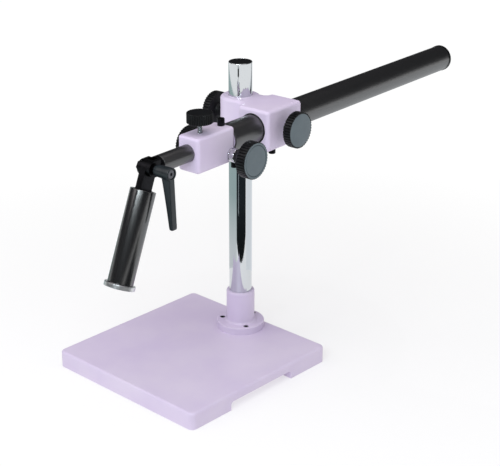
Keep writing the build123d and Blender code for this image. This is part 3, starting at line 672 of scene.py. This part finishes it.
def makePinionKnob(side):
    v = pinionKnobs
    place = pinionPlace[side]
    back, front, radius = extent("pinion_knob_" + side, place)
    discBack = front - v["discThickness"]
    capLow, capHigh, reach = extent("pinion_cap_" + side, place)
    seat = capLow - 0.1
    profile = roundCorners(blindBore(back, v["boreDepth"], v["boreRadius"]) + [
        (back, v["hubRadius"], 1.0),
        (discBack, v["hubRadius"] + 0.8, 1.6),
        (discBack, radius, 1.2),
        (front - 0.3, radius, 1.3),
        (front, radius - 2, 0.8),
        (front - 0.1, v["lipRadius"], 0.5),
        (seat, v["lipRadius"], 0),
        (seat, 0, 0),
    ])
    flutes = fluteShape(radius, v["flutes"], v["fluteDepth"], fluteFade)
    name = "pinionKnob" + side.title()
    knob = lathe(name, profile, place, blackNylon, v["flutes"] * 12, False, flutes, 40)
    # the lip round the cap, moulded with the black knob, is painted in the face's grey: a painted highlight ring
    knob.data.materials.append(greyFaceAndPaintedSheen)
    for polygon in knob.data.polygons:
        middle = polygon.center / mm
        if middle.z > front - 0.75 and middle.xy.length < radius - 1.2:
            polygon.material_index = 1
    standFor(knob, "pinion_knob_" + side)
    edge = capHigh - v["crown"] * 0.3
    cap = [(capLow, 0)] + roundCorners([
        (capLow, 0, 0),
        (capLow, v["capRadius"], 0.2),
        (edge, v["capRadius"], 0.6),
        (edge + 0.02, v["capRadius"] - 1.5, 0),
    ])[1:] + arcPoints(edge + 0.02, v["capRadius"] - 1.5, capHigh, 0, 0.12, 14) + [(capHigh, 0)]
    plate = lathe("pinionCap" + side.title(), cap, place, greyFaceAndPaintedSheen, 160)
    return standFor(plate, "pinion_cap_" + side)


for side in ("left", "right"):
    makePinionKnob(side)

lockKnob = {
    "ribs": 36,
    "ribDepth": 1.1,
    "ribFade": 1.5,
    "dishRadius": 14.6,
    "dish": 0.55,
    "studDepth": 9,
    "studRadius": 3.02,
}


def makeLockKnob():
    v = lockKnob
    back, front, radius = extent("lock_knob", lockPlace)
    profile = roundCorners(blindBore(back, v["studDepth"], v["studRadius"]) + [
        (back, radius, 0.8),
        (front - 0.4, radius, 1.4),
        (front - 0.1, v["dishRadius"] + 0.8, 0.5),
        (front - 0.1 - v["dish"], v["dishRadius"], 0.5),
        (front - v["dish"] + 0.1, 0, 0),
    ])

    def ribbed(z, r, angle):
        share = min(max((r - (radius - v["ribFade"])) / v["ribFade"], 0), 1)
        return r - v["ribDepth"] * share * (0.5 - 0.5 * cos(v["ribs"] * angle)) ** 0.8

    knob = lathe("lockKnob", profile, lockPlace, blackNylon, v["ribs"] * 12, False, ribbed, 40)
    return standFor(knob, "lock_knob")


makeLockKnob()

threads = {
    "pitch": 1.0,
    "depth": 0.58,
    "runOut": 0.8,
    "chamfer": 0.6,
    "stepsPerTurn": 28,
    "ringsPerTurn": 10,
}


def makeThread(name, node, place):
    # a screw thread: the radius falls and rises with the turn and the height together
    v = threads
    low, high, radius = extent(node, place)
    turns = (high - low) / v["pitch"]
    count = int(turns * v["ringsPerTurn"])

    def cut(z, r, angle):
        phase = ((z - low) / v["pitch"] - angle / (2 * pi)) % 1
        groove = min(max(2.5 * abs(phase - 0.5) - 0.12, 0), 1)
        inward = max(min((z - low) / v["runOut"], (high - z) / v["runOut"], 1), 0)
        return r - v["depth"] * groove * inward - (1 - inward) * v["chamfer"]

    side = [(low + (high - low) * i / count, radius) for i in range(count + 1)]
    stud = lathe(name, [(low, 0)] + side + [(high, 0)], place, zinc, v["stepsPerTurn"], False, cut, 60)
    return standFor(stud, node)


makeThread("columnStud", "column_stud", columnClampPlace)
makeThread("boomStud", "boom_stud", boomClampPlace)
makeThread("lockStud", "lock_stud", lockPlace)
print("knobs and studs made")

collars = {"notches": 10, "notchDepth": 0.9, "edge": 0.8}


def makeCollar(side):
    # a flanged bush with a castellated collar outside the block
    v = collars
    place = pinionPlace[side]
    node = "pinion_bush_" + side
    low, high, outer = extent(node, place)
    inner = innerRadius(node, place)
    inverse = place.inverted()
    sleeve = [inverse @ p.co / mm for p in nodes[node].data.vertices]
    start = min(p.z for p in sleeve if p.xy.length > outer - 0.1)
    neck = max(p.xy.length for p in sleeve if p.z < start - 0.5)
    profile = roundCorners([
        (low, inner, 0),
        (low, neck, 0.3),
        (start, neck, 0),
        (start, outer, 0.3),
        (start + 2.6, outer, 0.3),
        (start + 2.6, outer - 0.5, 0.2),
        (start + 3.2, outer - 0.5, 0.2),
        (start + 3.2, outer, 0.3),
        (high, outer, v["edge"]),
        (high, inner, 0.3),
        (low, inner, 0),
    ])[:-1]

    def castle(z, r, angle):
        share = min(max((z - start - 3.4) / 0.2, 0), 1) * min(max((r - outer + 1.2) / 0.6, 0), 1)
        gap = min(max((cos(v["notches"] * angle) - 0.45) / 0.2, 0), 1)
        return r - v["notchDepth"] * share * gap

    collar = lathe("pinionBush" + side.title(), profile, place, nickel, 240, True, castle)
    return standFor(collar, node)


for side in ("left", "right"):
    makeCollar(side)


castLip = {"clearance": 0.15, "lead": 0.15, "depth": 0.2, "rise": 0.35, "overlap": 0.9, "round": 0.2}


def makeCastLip():
    # the casting closes over the end of its bush in a thin lip round the column
    v = castLip
    low, top, outer = extent("column_bush", columnPlace)
    column = extent("column_tube", columnPlace)[2]
    foot = (top - v["depth"], column + v["clearance"], 0)
    profile = roundCorners([
        foot,
        (top - v["depth"], outer + v["overlap"], 0),
        (top + v["rise"] - 0.1, outer + v["overlap"] - 0.4, v["round"]),
        (top + v["rise"], column + v["clearance"] + v["lead"], v["round"]),
        foot,
    ])[:-1]
    lip = lathe("castLip", profile, columnPlace, lilac, 160, True)
    return addPiece(lip, "arm_block")


makeCastLip()


def breakEdges(name, width, angle=35):
    # the machined edges of a CAD piece are broken, so they catch a thin line of light
    bevel = nodes[name].modifiers.new("broken edges", "BEVEL")
    bevel.width = width * mm
    bevel.segments = 2
    bevel.limit_method = "ANGLE"
    bevel.angle_limit = radians(angle)
    bevel.harden_normals = False


breakEdges("hinge_fork", 0.8)
breakEdges("post_yoke", 0.8)

lever = {
    "armWidth": 10.2,
    "armWidthTip": 9.4,
    "hubGrow": 0.9,
    "hubSwell": 0.7,
    "recessRadius": 6.2,
    "webTop": 25.0,
    "armDepth": 14,
    "armRootFlare": 1.5,
    "armTipShrink": 0.93,
    "armSquareness": 7,
    "voxel": 0.4,
    "smoothing": 4,
}


def superEllipse(halfA, halfB, power, count):
    points = []
    for i in range(count):
        angle = 2 * pi * i / count
        a = abs(cos(angle)) ** (2 / power) * halfA * (1 if cos(angle) > 0 else -1)
        b = abs(sin(angle)) ** (2 / power) * halfB * (1 if sin(angle) > 0 else -1)
        points.append((a, b))
    return points


def loft(name, sections, place, material):
    # skins a stack of closed outlines of equal count, each a list of points in mm
    count = len(sections[0])
    vertices = [tuple(c * mm for c in p) for section in sections for p in section]
    faces = [tuple(range(count - 1, -1, -1)), tuple(range(len(vertices) - count, len(vertices)))]
    for k in range(len(sections) - 1):
        for i in range(count):
            j = (i + 1) % count
            faces.append((k * count + i, k * count + j, (k + 1) * count + j, (k + 1) * count + i))
    return finishMesh(name, vertices, faces, place, material)


def makeLever():
    # local z is the hinge axis; the arm hangs along local -x, as x is nearest to straight up
    v = lever
    hubLow, tipTop, reach = extent("lever_handle", leverPlace)
    inverse = leverPlace.inverted()
    points = [inverse @ p.co / mm for p in nodes["lever_handle"].data.vertices]
    hub = [p for p in points if p.xy.length < 9]
    hubTop = max(p.z for p in hub if abs(p.y) > 5)
    hubRadius = max(p.xy.length for p in hub if abs(p.y) > 5) + v["hubGrow"]
    tipX = min(p.x for p in points)
    tip = [p for p in points if p.x < tipX + 2]
    tipLow, tipHigh = min(p.z for p in tip), max(p.z for p in tip)
    body = lathe("leverHub", roundCorners([
        (hubLow, 0, 0),
        (hubLow, hubRadius - 1.6, 0.6),
        (hubLow + 5, hubRadius - v["hubSwell"], 3),
        (hubTop - 5, hubRadius, 3),
        (hubTop, hubRadius - 0.2, 0.7),
        (hubTop, 0, 0),
    ]), leverPlace, leverNylon, 96)
    sections = []
    steps = 24
    rootHigh = hubTop - 0.2
    rootLow = rootHigh - v["armDepth"]
    for k in range(steps + 1):
        t = k / steps
        x = -3 + (tipX + 3) * t
        low = rootLow + (tipLow - rootLow) * t ** 0.85
        high = rootHigh + (tipHigh - rootHigh) * t
        width = v["armWidth"] + (v["armWidthTip"] - v["armWidth"]) * t
        if k == 0:
            width += v["armRootFlare"]
        shrink = 1 if k < steps else v["armTipShrink"]
        outline = superEllipse((high - low) / 2 * shrink, width / 2 * shrink, v["armSquareness"], 40)
        sections.append([(x, b, (low + high) / 2 + a) for a, b in outline])
    arm = loft("leverArm", sections, leverPlace, leverNylon)
    union = body.modifiers.new("arm", "BOOLEAN")
    union.operation = "UNION"
    union.object = arm
    union.solver = "EXACT"
    remesh = body.modifiers.new("even", "REMESH")
    remesh.mode = "VOXEL"
    remesh.voxel_size = v["voxel"] * mm
    remesh.use_smooth_shade = True
    soften = body.modifiers.new("soften", "SMOOTH")
    soften.iterations = v["smoothing"]
    soften.factor = 0.6
    handle = bakeModifiers(body, arm)
    mouth = hubTop + 3
    recess = lathe("recessCut", roundCorners([
        (v["webTop"], 0, 0),
        (v["webTop"], v["recessRadius"], 0.3),
        (mouth, v["recessRadius"], 0),
        (mouth, 0, 0),
    ]), leverPlace, leverNylon, 96)
    handle = cutWith(handle, recess)
    handle.name = "leverHandle"
    return standFor(handle, "lever_handle")


makeLever()

spring = {"turns": 6, "wire": 0.7, "coilRadius": 4.3}


def makeSpring():
    v = spring
    low, high, outer = extent("lever_spring", leverPlace)
    curve = bpy.data.curves.new("leverSpring", "CURVE")
    curve.dimensions = "3D"
    curve.bevel_depth = v["wire"] / 2 * mm
    curve.bevel_resolution = 4
    line = curve.splines.new("POLY")
    steps = v["turns"] * 24
    line.points.add(steps)
    for i in range(steps + 1):
        angle = 2 * pi * v["turns"] * i / steps
        z = low + v["wire"] / 2 + (high - low - v["wire"]) * i / steps
        out = v["coilRadius"] * mm
        line.points[i].co = (out * cos(angle), out * sin(angle), z * mm, 1)
    made = linkObject("leverSpringCurve", curve, Matrix.Identity(4))
    bpy.context.view_layer.update()
    mesh = bpy.data.meshes.new_from_object(made.evaluated_get(bpy.context.evaluated_depsgraph_get()))
    bpy.data.objects.remove(made)
    mesh.materials.clear()
    mesh.materials.append(zinc)
    mesh.shade_smooth()
    coil = linkObject("leverSpring", mesh, leverPlace)
    standFor(coil, "lever_spring")
    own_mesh(coil)
    return coil


makeSpring()
print("lever made")

# camera at the operator's right, a little above the boom, with a long lens
view = {
    "azimuth": 42.735,
    "elevation": 22.407,
    "roll": 0.141,
    "distance": 1.78214,
    "target": (0.0467, -0.0310, 0.1898),
    "sensorWidth": 36,
    "imageWidth": 500,
    "focal": 1316.7,
}


def makeCamera():
    az, el, roll = (radians(view[key]) for key in ("azimuth", "elevation", "roll"))
    back = Vector((sin(az) * cos(el), -cos(az) * cos(el), sin(el)))
    right = Vector((cos(az), sin(az), 0))
    up = back.cross(right)
    data = bpy.data.cameras.new("camera")
    data.sensor_width = view["sensorWidth"]
    data.lens = view["sensorWidth"] * view["focal"] / view["imageWidth"]
    across = right * cos(roll) + up * sin(roll)
    upright = up * cos(roll) - right * sin(roll)
    m = Matrix((across, upright, back)).transposed().to_4x4()
    m.translation = Vector(view["target"]) + back * view["distance"]
    bpy.context.scene.camera = linkObject("camera", data, m)


makeCamera()

studio = {
    "floor": "#F6F5F7",
    "floorSize": 6,
    "floorGlow": 1.02,
    "world": "#FFFFFF",
    "worldStrength": 0.48,
    "glossyWorld": 0.05,
    "key": 5.2,
    "fill": 9.5,
    "side": 1.5,
    "top": 9,
}


def makeFloor():
    # seamless white paper that glows: painted light, half glow by the stand, where it fades the shadows, rising to
    # full glow towards its edges, so it fades to plain white
    material, tree, shader, place = newMaterial("seamless paper, white", studio["floor"], 0.9)
    raiseSkin(tree, shader, cloudNoise(tree, place, 4, 3), 0.05, 0.05)
    # painted light: the share of glow grows from half by the stand to all of it at 0.85 m
    out = addNode(tree, "VectorMath", {"operation": "LENGTH"}, {0: place})
    limits = {"From Min": 0.1, "From Max": 0.85, "To Min": 0.5, "To Max": 1}
    glowShare = addNode(tree, "MapRange", limits, {"Value": out.outputs["Value"]}).outputs["Result"]
    glow = addNode(tree, "Emission", {"Color": (1, 1, 1, 1), "Strength": studio["floorGlow"]})
    parts = {0: glowShare, 1: shader.outputs["BSDF"], 2: glow.outputs["Emission"]}
    both = addNode(tree, "MixShader", links=parts)
    tree.links.new(both.outputs["Shader"], tree.nodes["Material Output"].inputs["Surface"])
    size = studio["floorSize"]
    corners = [(-size, -size, 0), (size, -size, 0), (size, size, 0), (-size, size, 0)]
    floor = finishMesh("floor", corners, [(0, 1, 2, 3)], Matrix.Identity(4), material)


def makeLight(name, azimuth, elevation, distance, width, height, power, color="#FFFFFF"):
    # azimuth is turned from straight in front of the stand towards its right
    az, el = radians(azimuth), radians(elevation)
    away = Vector((sin(az) * cos(el), -cos(az) * cos(el), sin(el)))
    data = bpy.data.lights.new(name, "AREA")
    data.shape = "RECTANGLE"
    data.size = width
    data.size_y = height
    data.energy = power
    data.color = hexColor(color)[:3]
    aim = Vector((0, 0, 0.2))
    return linkObject(name, data, axisFrame(aim + away * distance, away))


def makeCard(name, start, stop, facing, near, far, colors, strength, lift=0.002, curved=False):
    # a card lying on the floor that only reflections see; angles turn from the camera's side of the column
    material = bpy.data.materials.new(name)
    material.use_nodes = True
    tree = material.node_tree
    tree.nodes.clear()
    place = addNode(tree, "TexCoord").outputs["Object"]
    out = addNode(tree, "VectorMath", {"operation": "LENGTH"}, {0: place})
    tone = blendTones(tree, out.outputs["Value"], *colors, 0.33, 0.62)
    glow = addNode(tree, "Emission", {"Strength": strength}, {"Color": tone})
    addNode(tree, "OutputMaterial", links={"Surface": glow.outputs["Emission"]})
    steps = 32
    vertices, faces = [], []
    for i in range(steps + 1):
        turn = start + (stop - start) * i / steps
        inner = near if curved else min(near / cos(radians(turn - facing)), far * 0.98)
        az = radians(view["azimuth"] + turn)
        for r in (inner, far):
            vertices.append((sin(az) * r, -cos(az) * r, lift))
    for i in range(steps):
        a = i * 2
        faces.append((a, a + 1, a + 3, a + 2))
    card = finishMesh(name, vertices, faces, Matrix.Identity(4), material)
    card.visible_camera = False
    card.visible_diffuse = False
    card.visible_shadow = False
    card.visible_transmission = False
    card.visible_volume_scatter = False
    return card


def makeWorld():
    world = bpy.data.worlds.new("studio")
    bpy.context.scene.world = world
    world.use_nodes = True
    tree = world.node_tree
    tree.nodes.clear()
    white = hexColor(studio["world"])
    soft = addNode(tree, "Background", {"Color": white, "Strength": studio["worldStrength"]})
    seen = addNode(tree, "Background", {"Color": white, "Strength": 1.0})
    dark = addNode(tree, "Background", {"Color": hexColor("#F4F6FF"), "Strength": studio["glossyWorld"]})
    ray = addNode(tree, "LightPath")
    choices = {0: ray.outputs["Is Glossy Ray"], 1: soft.outputs[0], 2: dark.outputs[0]}
    glossy = addNode(tree, "MixShader", links=choices)
    choices = {0: ray.outputs["Is Camera Ray"], 1: glossy.outputs[0], 2: seen.outputs[0]}
    final = addNode(tree, "MixShader", links=choices)
    addNode(tree, "OutputWorld", links={"Surface": final.outputs[0]})


makeFloor()
makeWorld()
makeLight("key softbox", view["azimuth"] - 75, 42, 1.7, 1.3, 1.0, studio["key"], "#FFF8F8")
makeLight("strip by the camera", view["azimuth"] - 19, 30, 1.5, 0.16, 0.9, studio["fill"], "#EAF4F8")
makeLight("right softbox", view["azimuth"] + 60, 35, 1.7, 1.0, 1.0, studio["side"])
makeLight("top softbox", view["azimuth"] + 20, 80, 1.6, 1.4, 1.4, studio["top"], "#FFFAFC")
makeCard("dark card", -38, 53, 5, 0.265, 1.8, ("#15181A", "#22272B"), 1.0)
makeCard("white slit", -20, -17, -18.5, 0.5, 1.8, ("#E9F1F5", "#B9C4C8"), 1.0, 0.003)
makeCard("grey green card", -173, -38, -105, 0.25, 1.8, ("#D4D8DA", "#A3B5B4"), 1.05, 0.0012, True)
makeCard("white card", 60, 176, 118, 0.24, 1.8, ("#E4E7EB", "#E8EBEE"), 1.1, 0.0015, True)
bpy.context.scene.view_settings.view_transform = "Standard"
print("studio set")
